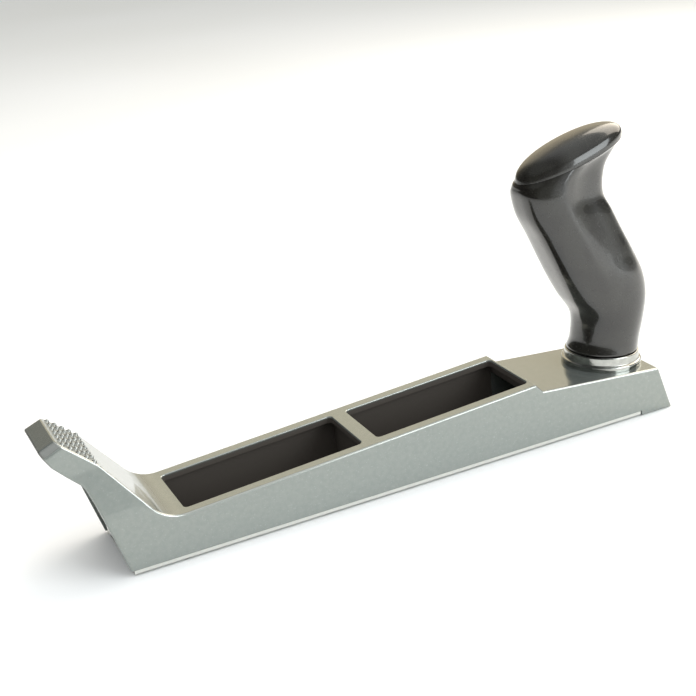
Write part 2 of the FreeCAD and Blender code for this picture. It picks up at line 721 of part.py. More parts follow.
def make_tension_screw():
    """The slotted jack screw, drawn about Z with its head's underside at z = 0, laid along x."""
    body = doc.addObject("PartDesign::Body", "tension_screw")
    under_head = "(Sizes.hook_front - Sizes.screw_head_gap)"
    tip = "Sizes.web_start - Sizes.screw_tip_gap - %s" % under_head
    section = new_sketch(body, "screw_section", "XZ_Plane")
    add_outline(section, [
        ("0", "-Sizes.screw_head_height"),
        ("Sizes.screw_head_radius", "-Sizes.screw_head_height"),
        ("Sizes.screw_head_radius", "0"),
        ("Sizes.screw_radius", "0"),
        ("Sizes.screw_radius", "%s - Sizes.screw_chamfer" % tip),
        ("Sizes.screw_radius - Sizes.screw_chamfer", tip),
        ("0", tip),
    ])
    revolve(body, "screw_turning", section)
    head_top = -size("Sizes.screw_head_height")

    def head_rim(edge):
        box = edge.BoundBox
        return edge.Length > 10 and abs(box.ZMax - head_top) < 0.01 and box.ZLength < 0.01

    round_edges(body, "head_round", head_rim, "Sizes.screw_head_height / 4")
    slot = new_sketch(body, "slot_outline", "XZ_Plane")
    add_outline(slot, [
        ("-Sizes.screw_slot_width / 2", "-Sizes.screw_head_height - 1"),
        ("Sizes.screw_slot_width / 2", "-Sizes.screw_head_height - 1"),
        ("Sizes.screw_slot_width / 2", "Sizes.screw_slot_depth - Sizes.screw_head_height"),
        ("-Sizes.screw_slot_width / 2", "Sizes.screw_slot_depth - Sizes.screw_head_height"),
    ])
    add_feature(body, "Pocket", "slot", slot, "3 * Sizes.screw_head_radius", symmetric=True)
    place(body, under_head, "Sizes.screw_height", "90")
    return body


# ---------------------------------------------------------------- swivel: ferrule, bolt, washers
WASHER_TOP = "(-Sizes.seat_thickness - Sizes.swivel_gap)"
LOCK_TOP = "(%s - Sizes.washer_thickness)" % WASHER_TOP
HEAD_TOP = "(%s - Sizes.lock_washer_thickness)" % LOCK_TOP
FRICTION_BOTTOM = "(Sizes.ferrule_floor + Sizes.swivel_gap)"
SPIGOT_BOTTOM = "(%s + Sizes.friction_washer_thickness)" % FRICTION_BOTTOM
FOOT = "(Sizes.neck_top + Sizes.foot_gap)"


def make_handle_ferrule():
    """The turned ferrule on the deck: a flange, a neck and a bore for the grip's spigot."""
    body = doc.addObject("PartDesign::Body", "handle_ferrule")
    section = new_sketch(body, "ferrule_section", "XZ_Plane")
    add_outline(section, [
        ("Sizes.bolt_hole_radius", "0"),
        ("Sizes.flange_radius", "0"),
        ("Sizes.flange_radius", "Sizes.flange_height"),
        ("Sizes.neck_radius", "Sizes.flange_height"),
        ("Sizes.neck_radius", "Sizes.neck_top"),
        ("Sizes.ferrule_bore_radius", "Sizes.neck_top"),
        ("Sizes.ferrule_bore_radius", "Sizes.ferrule_floor"),
        ("Sizes.bolt_hole_radius", "Sizes.ferrule_floor"),
    ])
    revolve(body, "ferrule_turning", section)
    rims = [("Sizes.flange_radius", "Sizes.flange_height"), ("Sizes.neck_radius", "Sizes.neck_top")]
    places = [(size(radius), size(height)) for radius, height in rims]

    def outer_rim(edge):
        box = edge.BoundBox
        return any(abs(box.XMax - radius) < 0.01 and abs(box.ZMax - height) < 0.01 and box.ZLength < 0.01
                   for radius, height in places)

    round_edges(body, "rim_rounds_turned", outer_rim, "(Sizes.flange_radius - Sizes.neck_radius) * 0.6")
    place_on_swivel(body)
    return body


def make_ring(name, inner, outer, bottom, thickness):
    """A plain ring about the swivel axis, from its bottom height upward."""
    body = doc.addObject("PartDesign::Body", name)
    rings = new_sketch(body, name + "_circles", "XY_Plane", bottom)
    add_circle(rings, "0", "0", outer)
    add_circle(rings, "0", "0", inner)
    add_feature(body, "Pad", name + "_ring", rings, thickness)
    return body


def make_washers():
    """The fibre friction disc in the ferrule, and the flat and split lock washers under the deck."""
    clear = "Sizes.bolt_radius + Sizes.spigot_clearance"
    friction = make_ring("friction_washer", clear, "Sizes.ferrule_bore_radius - Sizes.foot_gap",
                         FRICTION_BOTTOM, "Sizes.friction_washer_thickness")
    flat = make_ring("flat_washer", clear, "Sizes.washer_radius", LOCK_TOP, "Sizes.washer_thickness")
    lock = make_ring("lock_washer", clear, "Sizes.lock_washer_radius", HEAD_TOP,
                     "Sizes.lock_washer_thickness")
    split = new_sketch(lock, "split_outline", "XY_Plane", LOCK_TOP + " + 1")
    add_outline(split, [
        ("0", "-Sizes.lock_washer_split / 2"),
        ("2 * Sizes.lock_washer_radius", "-Sizes.lock_washer_split / 2"),
        ("2 * Sizes.lock_washer_radius", "Sizes.lock_washer_split / 2"),
        ("0", "Sizes.lock_washer_split / 2"),
    ])
    add_feature(lock, "Pocket", "split", split, "Sizes.lock_washer_thickness + 2")
    washers = [friction, flat, lock]
    for washer in washers:
        place_on_swivel(washer)
    return washers


def make_handle_bolt():
    """The hexagon bolt that clamps the grip down through the deck."""
    body = doc.addObject("PartDesign::Body", "handle_bolt")
    head = new_sketch(body, "head_outline", "XY_Plane", HEAD_TOP)
    reach = "Sizes.bolt_head_flats / 2 / cos(30)"
    corners = []
    for corner in range(6):
        angle = 30 + 60 * corner
        corners.append(("%s * cos(%d)" % (reach, angle), "%s * sin(%d)" % (reach, angle)))
    add_outline(head, corners)
    add_feature(body, "Pad", "head", head, "Sizes.bolt_head_height", away=True)
    shank = new_sketch(body, "shank_outline", "XY_Plane", HEAD_TOP)
    add_circle(shank, "0", "0", "Sizes.bolt_radius")
    bolt = add_feature(body, "Pad", "shank", shank, "Sizes.bolt_end - %s" % HEAD_TOP)
    bolt_end = size("Sizes.bolt_end")
    names = ["Edge%d" % number for number, edge in enumerate(bolt.Shape.Edges, 1)
             if edge.BoundBox.ZMin > bolt_end - 0.01]
    chamfer = body.newObject("PartDesign::Chamfer", "shank_chamfer")
    chamfer.Base = (bolt, names)
    chamfer.setExpression("Size", "Sizes.bolt_radius / 5")
    place_on_swivel(body)
    return body


def make_handle_insert():
    """The brass threaded bush in the grip's foot, with two grooves that hold it in the plastic."""
    body = doc.addObject("PartDesign::Body", "handle_insert")
    section = new_sketch(body, "insert_section", "XZ_Plane")
    bore = "Sizes.bolt_radius + Sizes.press_clearance"
    rise = "(Sizes.insert_top - %s)" % SPIGOT_BOTTOM
    heights = ["%s + %s * %s" % (SPIGOT_BOTTOM, rise, share) for share in ("0.3", "0.4", "0.6", "0.7")]
    groove = "Sizes.insert_radius * 0.88"
    add_outline(section, [
        (bore, SPIGOT_BOTTOM),
        ("Sizes.insert_radius", SPIGOT_BOTTOM),
        ("Sizes.insert_radius", heights[0]),
        (groove, heights[0]),
        (groove, heights[1]),
        ("Sizes.insert_radius", heights[1]),
        ("Sizes.insert_radius", heights[2]),
        (groove, heights[2]),
        (groove, heights[3]),
        ("Sizes.insert_radius", heights[3]),
        ("Sizes.insert_radius", "Sizes.insert_top"),
        (bore, "Sizes.insert_top"),
    ])
    revolve(body, "insert_turning", section)
    place_on_swivel(body)
    return body


# ---------------------------------------------------------------- grip and cap
# Grip sections up the swivel axis: height, centre, half depth, half width and backward tilt.
GRIP_SECTIONS = [
    (13.0, 1.3, 15.9, 15.6, 0.0),
    (24.0, 2.0, 16.9, 15.9, 0.0),
    (34.0, -1.2, 20.2, 16.0, 0.0),
    (44.0, -5.5, 21.9, 16.0, 0.0),
    (54.0, -10.9, 22.1, 15.9, 0.0),
    (64.0, -16.7, 22.0, 15.6, 0.0),
    (74.0, -22.6, 22.2, 15.3, 0.0),
    (83.0, -26.0, 21.9, 14.9, 0.0),
    (90.8, -25.6, 22.7, 14.4, 9.7),
    (98.7, -21.6, 26.6, 14.0, 19.4),
]
HOLLOW_FROM = 3
# Cap sections above the rim: rise, centre along the rim, half depth and half width.
CAP_SECTIONS = [
    (3.1, 0.4, 25.9, 13.2),
    (6.2, 0.8, 22.6, 11.0),
    (8.1, 1.0, 14.5, 7.0),
]


def add_sections():
    """Put the grip's and the cap's sections on the sheet, below the other sizes."""
    cells = []
    for number, values in enumerate(GRIP_SECTIONS, 1):
        words = ("height", "centre", "half_depth", "half_width", "tilt")
        cells += [("grip_%s_%d" % (word, number), value) for word, value in zip(words, values)]
    for number, values in enumerate(CAP_SECTIONS, 1):
        words = ("rise", "centre", "half_depth", "half_width")
        cells += [("cap_%s_%d" % (word, number), value) for word, value in zip(words, values)]
    for row, (name, value) in enumerate(cells, start=len(SIZES) + 1):
        sheet.set("A%d" % row, name)
        sheet.set("B%d" % row, str(value))
        sheet.setAlias("B%d" % row, name)
    doc.recompute()


def add_ellipse(name, centre, height, depth, width, tilt):
    """An ellipse across the grip; its plane rises backward by the tilt."""
    ellipse = doc.addObject("Part::Ellipse", name)
    ellipse.Placement = Placement(Vector(), Rotation(Vector(0, -1, 0), 1))
    ellipse.setExpression("MajorRadius", depth)
    ellipse.setExpression("MinorRadius", width)
    ellipse.setExpression("Placement.Base.x", centre)
    ellipse.setExpression("Placement.Base.z", height)
    ellipse.setExpression("Placement.Rotation.Angle", tilt)
    return ellipse


def add_loft(name, sections):
    """A smooth solid through a list of sections."""
    loft = doc.addObject("Part::Loft", name)
    loft.Sections = sections
    loft.Solid = True
    loft.Ruled = False
    return loft


def grip_section(name, number, inset):
    """One of the grip's sections, drawn in by an inset."""
    cell = "Sizes.grip_%s_" + str(number)
    return add_ellipse(
        "%s_%d" % (name, number), cell % "centre", cell % "height", "%s - %s" % (cell % "half_depth", inset),
        "%s - %s" % (cell % "half_width", inset), cell % "tilt")


def add_cylinder(name, radius, bottom, top):
    """A cylinder on the swivel axis."""
    cylinder = doc.addObject("Part::Cylinder", name)
    cylinder.setExpression("Radius", radius)
    cylinder.setExpression("Height", "%s - %s" % (top, bottom))
    cylinder.setExpression("Placement.Base.z", bottom)
    return cylinder


def make_handle_grip():
    """The moulded grip: a solid foot with a spigot, and a hollow hand part open under the cap."""
    count = len(GRIP_SECTIONS)
    foot = add_ellipse("grip_foot", "0", FOOT, "Sizes.foot_radius", "Sizes.foot_radius", "0")
    outer = add_loft("grip_outer", [foot] + [grip_section("outer", n, "0") for n in range(1, count + 1)])
    inner = add_loft("grip_inner", [
        grip_section("inner", n, "Sizes.grip_wall") for n in range(HOLLOW_FROM + 1, count + 1)])
    spigot = add_cylinder("grip_spigot", "Sizes.ferrule_bore_radius - Sizes.spigot_clearance",
                          SPIGOT_BOTTOM, "(%s + 3)" % FOOT)
    solid = doc.addObject("Part::Fuse", "grip_solid")
    solid.Base = outer
    solid.Tool = spigot
    bore = add_cylinder("grip_bore", "Sizes.insert_radius + Sizes.press_clearance",
                        "(%s - 1)" % SPIGOT_BOTTOM, "(Sizes.insert_top + Sizes.press_clearance)")
    hollows = doc.addObject("Part::Fuse", "grip_hollows")
    hollows.Base = inner
    hollows.Tool = bore
    grip = doc.addObject("Part::Cut", "handle_grip")
    grip.Base = solid
    grip.Tool = hollows
    place_on_swivel(grip)
    return grip


def make_handle_cap():
    """The domed cap that closes the grip: a lens on the tilted rim and a skirt inside it."""
    rim = len(GRIP_SECTIONS)
    base = {word: "Sizes.grip_%s_%d" % (word, rim)
            for word in ("centre", "height", "half_depth", "half_width", "tilt")}

    def on_rim(name, rise, centre, depth, width):
        """A section parallel to the rim's plane at a rise above it."""
        across = "%s + (%s) * cos(%s) - (%s) * sin(%s)" % (base["centre"], centre, base["tilt"], rise,
                                                           base["tilt"])
        height = "%s + (%s) * sin(%s) + (%s) * cos(%s)" % (base["height"], centre, base["tilt"], rise,
                                                           base["tilt"])
        return add_ellipse(name, across, height, depth, width, base["tilt"])

    sections = [on_rim("cap_rim", "0", "0", base["half_depth"], base["half_width"])]
    for number in range(1, len(CAP_SECTIONS) + 1):
        cell = "Sizes.cap_%s_" + str(number)
        sections.append(on_rim("cap_section_%d" % number, cell % "rise", cell % "centre",
                               cell % "half_depth", cell % "half_width"))
    dome = add_loft("cap_dome", sections)
    inset = "(Sizes.grip_wall + Sizes.cap_skirt_clearance)"
    skirt = add_loft("cap_skirt_block", [
        on_rim("skirt_%s" % end, rise, "0", "%s - %s" % (base["half_depth"], inset),
               "%s - Sizes.grip_wall - 1" % base["half_width"])
        for end, rise in (("low", "-Sizes.cap_skirt"), ("high", "1"))])
    cap = doc.addObject("Part::Fuse", "handle_cap")
    cap.Base = dome
    cap.Tool = skirt
    place_on_swivel(cap)
    return cap


# ---------------------------------------------------------------- build, test and write
add_sections()
pieces = [
    make_body_casting(), make_rasp_blade(), make_tension_hook(), make_tension_screw(),
    make_handle_ferrule(), make_handle_bolt(), make_handle_insert(), make_handle_grip(),
    make_handle_cap(),
] + make_washers()
doc.recompute()

for obj in doc.Objects:
    if "Invalid" in obj.State or "Error" in obj.State:
        raise RuntimeError("%s failed: %s" % (obj.Name, obj.State))
for piece in pieces:
    if piece.Shape.isNull() or not piece.Shape.isValid() or piece.Shape.Volume <= 0:
        raise RuntimeError("%s has no sound solid" % piece.Name)

os.makedirs("parts", exist_ok=True)
for piece in pieces:
    piece.Label = piece.Name
    piece.Shape.exportStep("parts/%s.step" % piece.Label)
    box = piece.Shape.BoundBox
    print("%-16s %d solid(s) %9.1f mm3  x %.1f..%.1f  y %.1f..%.1f  z %.1f..%.1f" % (
        piece.Label, len(piece.Shape.Solids), piece.Shape.Volume, box.XMin, box.XMax,
        box.YMin, box.YMax, box.ZMin, box.ZMax))
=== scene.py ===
import json
import math

import bmesh
import bpy
from mathutils import Matrix, Vector


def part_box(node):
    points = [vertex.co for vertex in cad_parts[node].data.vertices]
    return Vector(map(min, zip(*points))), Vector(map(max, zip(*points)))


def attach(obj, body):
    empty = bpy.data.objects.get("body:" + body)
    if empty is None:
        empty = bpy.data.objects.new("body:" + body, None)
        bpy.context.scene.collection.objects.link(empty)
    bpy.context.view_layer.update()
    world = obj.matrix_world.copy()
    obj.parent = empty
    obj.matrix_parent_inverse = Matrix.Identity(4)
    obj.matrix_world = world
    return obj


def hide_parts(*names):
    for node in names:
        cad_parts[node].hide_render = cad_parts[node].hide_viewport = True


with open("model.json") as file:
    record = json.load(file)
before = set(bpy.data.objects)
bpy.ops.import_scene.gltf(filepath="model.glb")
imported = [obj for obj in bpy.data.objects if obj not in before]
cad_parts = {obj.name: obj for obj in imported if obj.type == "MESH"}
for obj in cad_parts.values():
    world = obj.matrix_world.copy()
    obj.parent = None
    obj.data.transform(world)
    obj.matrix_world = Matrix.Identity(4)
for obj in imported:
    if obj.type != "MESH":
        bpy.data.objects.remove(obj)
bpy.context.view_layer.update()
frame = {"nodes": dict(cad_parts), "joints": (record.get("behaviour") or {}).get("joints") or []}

MM = 0.001
scene = bpy.context.scene

# The casting's side outline in millimetres: reaches from the sole's front edge, and heights.
NOSE_REACH, CREST_FROM_NOSE, CREST_HEIGHT = 25.6, 7.4, 62.0
ROOT, ROOT_HEIGHT, RIDGE, RIDGE_HEIGHT = 18.0, 19.9, 190.5, 30.7
PAD_LEAN, PAD_RISE = 0.676, 0.737  # the direction square to the studded pad

joint = next(j for j in frame["joints"] if j["name"] == "handle_swivel")
up_axis = Vector(joint["axis"]).normalized()
fore_axis = Vector((up_axis.z, 0, -up_axis.x))
SWIVEL = Matrix.Translation(joint["pos_m"]) @ Matrix((fore_axis, (0, 1, 0), up_axis)).transposed().to_4x4()


# ---------------------------------------------------------------- materials
def linear(hex_colour):
    """An sRGB hex colour as linear red, green, blue and a full alpha."""
    channels = [int(hex_colour[i:i + 2], 16) / 255 for i in (1, 3, 5)]
    return [c / 12.92 if c <= 0.04045 else ((c + 0.055) / 1.055) ** 2.4 for c in channels] + [1]


def add(tree, kind, settings=None, **inputs):
    """Adds a shader node. An input is a value or another node's output socket."""
    node = tree.nodes.new("ShaderNode" + kind)
    for name, value in (settings or {}).items():
        setattr(node, name, value)
    for name, value in inputs.items():
        socket = node.inputs[int(name[1:])] if name[1:].isdigit() else node.inputs[name.replace("_", " ")]
        if isinstance(value, bpy.types.NodeSocket):
            tree.links.new(value, socket)
        else:
            socket.default_value = value
    return node


def start_material(name):
    """An empty node material: its tree, its principled shader and its object-space position."""
    material = bpy.data.materials.new(name)
    material.use_nodes = True
    tree = material.node_tree
    shader = tree.nodes["Principled BSDF"]
    place = add(tree, "TexCoord").outputs["Object"]
    return material, tree, shader, place


def noise(tree, place, size_mm, detail=3.0):
    """Noise whose features are about size_mm across."""
    return add(tree, "TexNoise", Vector=place, Scale=1 / (size_mm * MM), Detail=detail).outputs["Fac"]


def blend_colours(tree, factor, first, second):
    """A mix of two colours, each a hex string or a socket."""
    first = linear(first) if isinstance(first, str) else first
    second = linear(second) if isinstance(second, str) else second
    mixed = add(tree, "Mix", {"data_type": "RGBA"}, _0=factor, _6=first, _7=second)
    return mixed.outputs[2]


def remap(tree, value, low, high, to_low, to_high):
    """A value's range mapped to another, clamped and smoothed at both ends."""
    node = add(tree, "MapRange", {"interpolation_type": "SMOOTHSTEP"}, Value=value)
    for name, number in (("From Min", low), ("From Max", high), ("To Min", to_low), ("To Max", to_high)):
        node.inputs[name].default_value = number
    return node.outputs["Result"]


def maths(tree, operation, first, second=0.0):
    """The result of one arithmetic step on values or sockets."""
    return add(tree, "Math", {"operation": operation}, _0=first, _1=second).outputs[0]


def bump(tree, height, depth_mm, strength=1.0):
    """A normal whose relief is depth_mm deep."""
    return add(tree, "Bump", Height=height, Distance=depth_mm * MM, Strength=strength).outputs["Normal"]


def link(tree, shader, **inputs):
    """Sets or links several of a shader's inputs."""
    for name, value in inputs.items():
        socket = shader.inputs[name.replace("_", " ")]
        if isinstance(value, bpy.types.NodeSocket):
            tree.links.new(value, socket)
        else:
            socket.default_value = value


def times(tree, first, *others):
    """The product of several values, such as the overlap of masks."""
    for other in others:
        first = maths(tree, "MULTIPLY", first, other)
    return first


def inside_windows(tree, x, y, z):
    """A mask of the casting's inner walls, by depth under the sloping face that the windows pierce."""
    low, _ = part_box("body_casting")
    root_x, ridge_x = low.x + (NOSE_REACH + ROOT) * MM, low.x + (NOSE_REACH + RIDGE) * MM
    slope = (RIDGE_HEIGHT - ROOT_HEIGHT) / (RIDGE - ROOT)
    run = maths(tree, "SUBTRACT", x, root_x)
    face_z = maths(tree, "ADD", maths(tree, "MULTIPLY", run, slope), ROOT_HEIGHT * MM)
    depth = maths(tree, "SUBTRACT", face_z, z)
    return times(tree, remap(tree, depth, 0.55 * MM, 1.0 * MM, 0.0, 1.0),
                 maths(tree, "LESS_THAN", maths(tree, "ABSOLUTE", y), 19.3 * MM),
                 maths(tree, "LESS_THAN", x, ridge_x),
                 maths(tree, "GREATER_THAN", x, root_x - 2.0 * MM))


def painted_stud_shade_mask(tree, along, z):
    """A mask for the painted shade between the pad's studs, by height square to the pad."""
    height = maths(tree, "ADD", maths(tree, "MULTIPLY", along, PAD_LEAN),
                   maths(tree, "MULTIPLY", maths(tree, "SUBTRACT", z, CREST_HEIGHT * MM), PAD_RISE))
    return times(tree, remap(tree, along, 1.2 * MM, 1.8 * MM, 0.0, 1.0),
                 remap(tree, along, 14.0 * MM, 14.6 * MM, 1.0, 0.0),
                 maths(tree, "GREATER_THAN", height, -0.25 * MM),
                 remap(tree, height, 0.2 * MM, 0.6 * MM, 1.0, 0.0))


def rim_highlight_mask(tree, facing):
    """A mask of the rounded upper edges, where the surface turns from upward to sideways; it places a
    painted highlight.
    """
    sideways = maths(tree, "ABSOLUTE", facing[1])
    return times(tree, remap(tree, sideways, 0.2, 0.4, 0.0, 1.0),
                 remap(tree, sideways, 0.85, 0.96, 1.0, 0.0),
                 maths(tree, "GREATER_THAN", facing[2], 0.2))


def casting_lacquer():
    """Silver lacquer on cast aluminium: a fine mottle, painted highlights on the rounded edges outside,
    painted shade between the studs and on the nose, and inside the windows bare casting darkened further
    as painted shade."""
    material, tree, shader, place = start_material("silver_lacquer_on_casting")
    x, y, z = add(tree, "SeparateXYZ", _0=place).outputs
    facing = add(tree, "SeparateXYZ", _0=add(tree, "TexCoord").outputs["Normal"]).outputs
    along = maths(tree, "SUBTRACT", x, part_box("body_casting")[0].x + CREST_FROM_NOSE * MM)
    inside = inside_windows(tree, x, y, z)
    stud_shade = painted_stud_shade_mask(tree, along, z)
    # painted shade: the nose facet facing the toe is darkened to stand in for the shade it sits in
    nose = times(tree, remap(tree, along, -1.4 * MM, -0.6 * MM, 1.0, 0.0),
                 remap(tree, facing[0], -0.75, -0.55, 1.0, 0.0))
    upward = remap(tree, facing[2], 0.85, 0.97, 0.0, 1.0)
    rim = rim_highlight_mask(tree, facing)
    mottle = noise(tree, place, 2.2, 5.0)
    speckle = noise(tree, place, 0.7, 2.0)
    tint = blend_colours(tree, remap(tree, mottle, 0.3, 0.7, 0.0, 1.0), "#898f8a", "#8f948f")
    for amount, shade in (
        (remap(tree, speckle, 0.62, 0.75, 0.0, 0.3), "#b4b9b6"),
        # painted shade: the low pad between the studs darkened to stand in for the studs' shadows
        (times(tree, stud_shade, 0.95), "#34342f"),
        (times(tree, nose, 0.85), "#45433d"),
        # painted highlight: the rounded upper edges lightened to stand in for their highlights
        (times(tree, rim, 0.5), "#d8d8d2"),
        # partly painted shade: the bare casting inside the windows is darkened beyond its own tone to
        # stand in for the shade in the hollow
        (inside, "#4e4842"),
    ):
        tint = blend_colours(tree, amount, tint, shade)
    gloss = remap(tree, maths(tree, "MAXIMUM", upward, rim), 0.0, 1.0, 0.33, 0.14)
    link(tree, shader, Base_Color=tint,
         Metallic=remap(tree, inside, 0.0, 1.0, 0.6, 0.0),
         Roughness=maths(tree, "MAXIMUM", gloss, times(tree, inside, 0.75)),
         Coat_Weight=remap(tree, inside, 0.0, 1.0, 0.8, 0.0), Coat_Roughness=0.06,
         Normal=bump(tree, mottle, 0.02))
    return material


def blade_steel():
    """Punched strip steel: dark tempered web and teeth, and bright ground edges on the flanges."""
    material, tree, shader, place = start_material("punched_blade_steel")
    x, y, z = add(tree, "SeparateXYZ", _0=place).outputs
    edge = remap(tree, maths(tree, "ABSOLUTE", y), 20.6 * MM, 20.9 * MM, 0.0, 1.0)
    streaks = noise(tree, place, 3.0, 4.0)
    web = blend_colours(tree, remap(tree, streaks, 0.3, 0.7, 0.0, 1.0), "#6a645d", "#8a857e")
    colour = blend_colours(tree, edge, web, "#dcdcd6")
    link(tree, shader, Base_Color=colour, Metallic=0.9,
         Roughness=remap(tree, streaks, 0.3, 0.7, 0.28, 0.42))
    return material


def plated_steel(name, light, dark, roughness, grain_mm):
    """A plated or treated metal with a fine grain in its colour and gloss."""
    material, tree, shader, place = start_material(name)
    grain = noise(tree, place, grain_mm)
    colour = blend_colours(tree, remap(tree, grain, 0.3, 0.7, 0.0, 1.0), dark, light)
    link(tree, shader, Base_Color=colour, Metallic=1.0,
         Roughness=remap(tree, grain, 0.3, 0.7, roughness * 0.8, roughness * 1.3))
    return material


def fibre_board():
    """Vulcanised fibre: dull red-brown with a felted mottle."""
    material, tree, shader, place = start_material("vulcanised_fibre")
    felt = noise(tree, place, 1.2, 5.0)
    link(tree, shader, Roughness=0.8, Normal=bump(tree, felt, 0.05),
         Base_Color=blend_colours(tree, remap(tree, felt, 0.3, 0.7, 0.0, 1.0), "#5a2418", "#7a3626"))
    return material


def grip_plastic():
    """Glossy black moulded plastic: faint flow waves in the skin and a warm black body."""
    material, tree, shader, place = start_material("glossy_black_plastic")
    flow = noise(tree, place, 9.0, 2.0)
    dust = noise(tree, place, 0.9, 2.0)
    link(tree, shader,
         Base_Color=blend_colours(tree, remap(tree, flow, 0.35, 0.65, 0.0, 1.0), "#1c1a17", "#252420"),
         Roughness=remap(tree, dust, 0.5, 0.75, 0.2, 0.3), IOR=1.5,
         Coat_Weight=0.7, Coat_Roughness=0.05, Normal=bump(tree, flow, 0.12, 0.5))
    return material


def pale_floor():
    """A plain pale studio floor with the faintest unevenness in its tone."""
    material, tree, shader, place = start_material("pale_paper_floor")
    tone = noise(tree, place, 400.0, 1.0)
    link(tree, shader, Roughness=0.9,
         Base_Color=blend_colours(tree, remap(tree, tone, 0.3, 0.7, 0.0, 1.0), "#f7f7f5", "#fafaf9"))
    return material


def dress(piece, material):
    """Gives a piece one material."""
    piece.data.materials.clear()
    piece.data.materials.append(material)


# ---------------------------------------------------------------- meshes
def mesh_from_rings(name, rings, close_start=True, close_end=True):
    """A piece skinned over rings of equal point counts, smooth shaded."""
    mesh = bmesh.new()
    loops = [[mesh.verts.new(point) for point in ring] for ring in rings]
    count = len(loops[0])
    for lower, upper in zip(loops, loops[1:]):
        for i in range(count):
            j = (i + 1) % count
            mesh.faces.new((lower[i], lower[j], upper[j], upper[i]))
    if close_start:
        mesh.faces.new(reversed(loops[0]))
    if close_end:
        mesh.faces.new(loops[-1])
    bmesh.ops.recalc_face_normals(mesh, faces=mesh.faces)
    data = bpy.data.meshes.new(name)
    mesh.to_mesh(data)
    mesh.free()
    data.polygons.foreach_set("use_smooth", [True] * len(data.polygons))
    piece = bpy.data.objects.new(name, data)
    scene.collection.objects.link(piece)
    return piece


def on_swivel(points):
    """Points in millimetres about the swivel axis, moved to their place on the deck."""
    return [SWIVEL @ (Vector(point) * MM) for point in points]


# Grip stations up the swivel axis, in millimetres and degrees:
# height, centre, half depth, half width, backward tilt, squareness, hollow of the thumb web.
STATIONS = [
    (6.95, 0.0, 16.6, 16.6, 0.0, 2.0, 0.0),
    (13.0, 1.3, 15.9, 15.9, 0.0, 2.05, 0.0),
    (24.0, 2.0, 16.9, 16.0, 0.0, 2.15, 0.0),
    (34.0, -1.2, 20.2, 16.1, 0.0, 2.5, 0.02),
    (44.0, -5.5, 21.9, 16.0, 0.0, 2.7, 0.05),
    (54.0, -10.9, 22.1, 15.9, 0.0, 2.7, 0.13),
    (64.0, -16.7, 22.0, 15.6, 0.0, 2.6, 0.18),
    (74.0, -22.6, 22.2, 15.3, 0.0, 2.5, 0.22),
    (83.0, -26.7, 21.2, 14.9, 0.0, 2.4, 0.26),
    (90.8, -26.4, 22.0, 14.4, 9.7, 2.25, 0.26),
    (96.2, -23.4, 25.2, 14.2, 16.5, 2.15, 0.2),
    (98.7, -21.9, 27.1, 14.0, 19.4, 2.1, 0.02),
]
RING_POINTS = 128
DOME_RISE = 9.2


def station_at(t):
    """The grip's section at a fractional station number, smooth through the stations."""
    last = len(STATIONS) - 1
    i = min(int(t), last - 1)
    f = t - i
    a, b, c, d = (STATIONS[min(max(k, 0), last)] for k in (i - 1, i, i + 1, i + 2))
    return [0.5 * (2 * q + (r - p) * f + (2 * p - 5 * q + 4 * r - s) * f ** 2
                   + (3 * q - p - 3 * r + s) * f ** 3)
            for p, q, r, s in zip(a, b, c, d)]


def grip_ring(station, scale=1.0, rise=0.0, back=0.0):
    """A ring of the section: scaled about its centre, and lifted square to its own plane."""
    height, centre, half_depth, half_width, tilt, square, hollow = station
    ring = []
    for i in range(RING_POINTS):
        angle = 2 * math.pi * i / RING_POINTS
        c, s = math.cos(angle), math.sin(angle)
        power = 2 / (square + 1.2 * (square - 2) * max(0.0, -c))
        along = math.copysign(abs(c) ** power, c)
        across = math.copysign(abs(s) ** power, s)
        waist = max(0.0, math.sin(math.pi * min(1.0, max(0.0, (along + 0.25) / 1.25))))
        across *= 1 - hollow * waist * 0.8 - hollow * 0.6 * max(0.0, along)
        x, y = half_depth * scale * along + back, half_width * scale * across
        cos_t, sin_t = math.cos(math.radians(tilt)), math.sin(math.radians(tilt))
        ring.append((centre + x * cos_t - rise * sin_t, y, height + x * sin_t + rise * cos_t))
    return on_swivel(ring)


def build_grip():
    """The moulded grip, from its rounded foot to the seam under the cap."""
    last = len(STATIONS) - 1
    foot = STATIONS[0]
    rings = [grip_ring(foot, 0.3), grip_ring(foot, 0.955), grip_ring(foot, 0.985, 0.12),
             grip_ring(foot, 0.998, 0.45)]
    steps = 110
    rings += [grip_ring(station_at(last * k / steps)) for k in range(3, steps)]
    rim = STATIONS[-1]
    rings += [grip_ring(rim, 1.0, -0.16), grip_ring(rim, 0.998, -0.06), grip_ring(rim, 0.994, -0.02),
              grip_ring(rim, 0.9, -0.02)]
    return mesh_from_rings("moulded_grip", rings)


def build_cap():
    """The domed cap on the grip's tilted rim, its crown nearer the beak."""
    rim = STATIONS[-1]
    rings = [grip_ring(rim, 0.9, 0.02), grip_ring(rim, 0.994, 0.02), grip_ring(rim, 0.998, 0.06),
             grip_ring(rim, 1.0, 0.16)]
    steps = 48
    for k in range(1, steps):
        share = k / steps
        scale = max(0.02, (1 - share ** 2.6) ** (1 / 1.7))
        rise = 0.16 + (DOME_RISE - 0.16) * share
        rings.append(grip_ring(rim, scale, rise, 0.4 * rise))
    return mesh_from_rings("domed_cap", rings)


